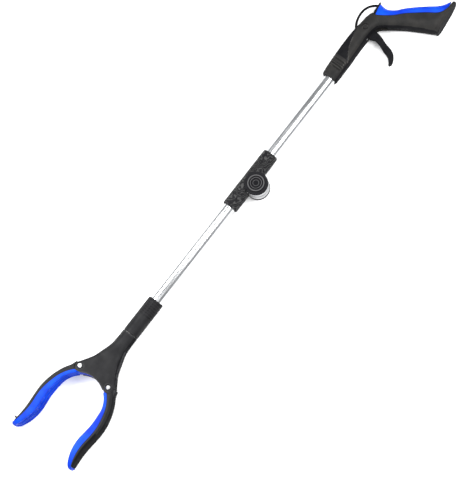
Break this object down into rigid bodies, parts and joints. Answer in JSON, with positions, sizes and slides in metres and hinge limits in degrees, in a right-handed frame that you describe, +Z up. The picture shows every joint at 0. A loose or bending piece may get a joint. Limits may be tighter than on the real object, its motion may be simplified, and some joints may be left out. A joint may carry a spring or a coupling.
{
  "type": "reacher grabber",
  "caption": "Folding reacher grabber: pistol grip with a trigger, hinged aluminium tube, and a swivelling head whose padded jaws close when a cable is pulled.",
  "frame": {"origin": "centre of the footprint at the height of what the tool lies on, with the tool lying on its side", "axes": "+X runs along the tube from the jaws to the handle, +Y points to the back of the hand, away from the trigger, and +Z is up, out of the side with the fold button"},
  "size_m": [0.8012, 0.1358, 0.0304],
  "materials": {
    "black_plastic": "satin moulded plastic, sandblasted texture on the grip",
    "blue_rubber": "soft blue thermoplastic rubber",
    "aluminium": "satin anodised",
    "steel": "bright zinc plated",
    "hinge_metal": "die-cast, matt",
    "brass": "dull",
    "nylon": "natural nylon",
    "cable": "stranded steel wire"
  },
  "bodies": {
    "handle": {"handle_shell_front": "black_plastic", "handle_shell_back": "black_plastic", "grip_pad": "blue_rubber", "hanging_loop": "black_plastic", "handle_screw_1": "steel", "handle_screw_2": "steel", "handle_screw_3": "steel", "handle_screw_4": "steel", "trigger_pin": "steel", "upper_tube": "aluminium", "upper_tube_peg_1": "black_plastic", "upper_tube_peg_2": "black_plastic", "upper_sleeve": "black_plastic", "hinge_fork": "hinge_metal", "fold_axle": "hinge_metal", "fold_cap_front": "black_plastic", "fold_cap_back": "black_plastic", "fold_button_spring": "steel", "fold_cable_bridge": "cable"},
    "trigger": {"trigger_lever": "black_plastic"},
    "fold_button": {"fold_button_cap": "black_plastic"},
    "upper_cable": {"upper_cable_run": "cable"},
    "lower_arm": {"hinge_tongue": "hinge_metal", "lower_sleeve": "black_plastic", "lower_tube": "aluminium", "lower_tube_peg_1": "black_plastic", "lower_tube_peg_2": "black_plastic", "neck_sleeve": "black_plastic", "swivel_bush": "nylon"},
    "lower_cable": {"lower_cable_run": "cable"},
    "head": {"head_shell_front": "black_plastic", "head_shell_back": "black_plastic", "head_screw_upper": "steel", "head_screw_lower": "steel", "jaw_pin_upper": "steel", "jaw_pin_lower": "steel", "return_spring": "steel"},
    "puller": {"cable_puller": "brass"},
    "jaw_upper": {"jaw_upper_shell": "black_plastic", "jaw_upper_liner": "blue_rubber", "tip_hook": "black_plastic"},
    "jaw_lower": {"jaw_lower_shell": "black_plastic", "jaw_lower_liner": "blue_rubber", "tip_magnet": "steel"}
  },
  "joints": [
    {"name": "trigger_pull", "type": "hinge", "parent": "handle", "child": "trigger", "pos_m": [0.30065, 0.01435, 0.0152], "axis": [0, 0, 1], "range_deg": [0, 35], "stiffness_Nm_per_rad": 0.4, "springref_deg": -17.19},
    {"name": "upper_cable_slide", "type": "slide", "parent": "handle", "child": "upper_cable", "axis": [1, 0, 0], "range_m": [0, 0.0059]},
    {"name": "fold", "type": "hinge", "parent": "handle", "child": "lower_arm", "pos_m": [0.04265, 0.00065, 0.0152], "axis": [0, 0, 1], "range_deg": [0, 160], "deforming": ["fold_cable_bridge"]},
    {"name": "fold_button_press", "type": "slide", "parent": "handle", "child": "fold_button", "axis": [0, 0, -1], "range_m": [0, 0.002], "stiffness_N_per_m": 400, "springref_m": -0.002, "deforming": ["fold_button_spring"]},
    {"name": "lower_cable_slide", "type": "slide", "parent": "lower_arm", "child": "lower_cable", "axis": [1, 0, 0], "range_m": [0, 0.0059]},
    {"name": "head_swivel", "type": "hinge", "parent": "lower_arm", "child": "head", "pos_m": [-0.21485, 0.01215, 0.0152], "axis": [1, 0, 0], "range_deg": [-90, 90]},
    {"name": "puller_slide", "type": "slide", "parent": "head", "child": "puller", "axis": [1, 0, 0], "range_m": [0, 0.0059], "deforming": ["return_spring"]},
    {"name": "jaw_upper_close", "type": "hinge", "parent": "head", "child": "jaw_upper", "pos_m": [-0.28735, 0.03615, 0.0152], "axis": [0, 0, 1], "range_deg": [0, 22.3]},
    {"name": "jaw_lower_close", "type": "hinge", "parent": "head", "child": "jaw_lower", "pos_m": [-0.28735, -0.01185, 0.0152], "axis": [0, 0, -1], "range_deg": [0, 22.3]}
  ],
  "couplings": [
    {"joint": "upper_cable_slide", "follows": "trigger_pull", "m_per_rad": 0.009413},
    {"joint": "lower_cable_slide", "follows": "trigger_pull", "m_per_rad": 0.009413},
    {"joint": "puller_slide", "follows": "trigger_pull", "m_per_rad": 0.009413},
    {"joint": "jaw_upper_close", "follows": "trigger_pull", "ratio": 0.62857},
    {"joint": "jaw_lower_close", "follows": "trigger_pull", "ratio": 0.62857}
  ]
}
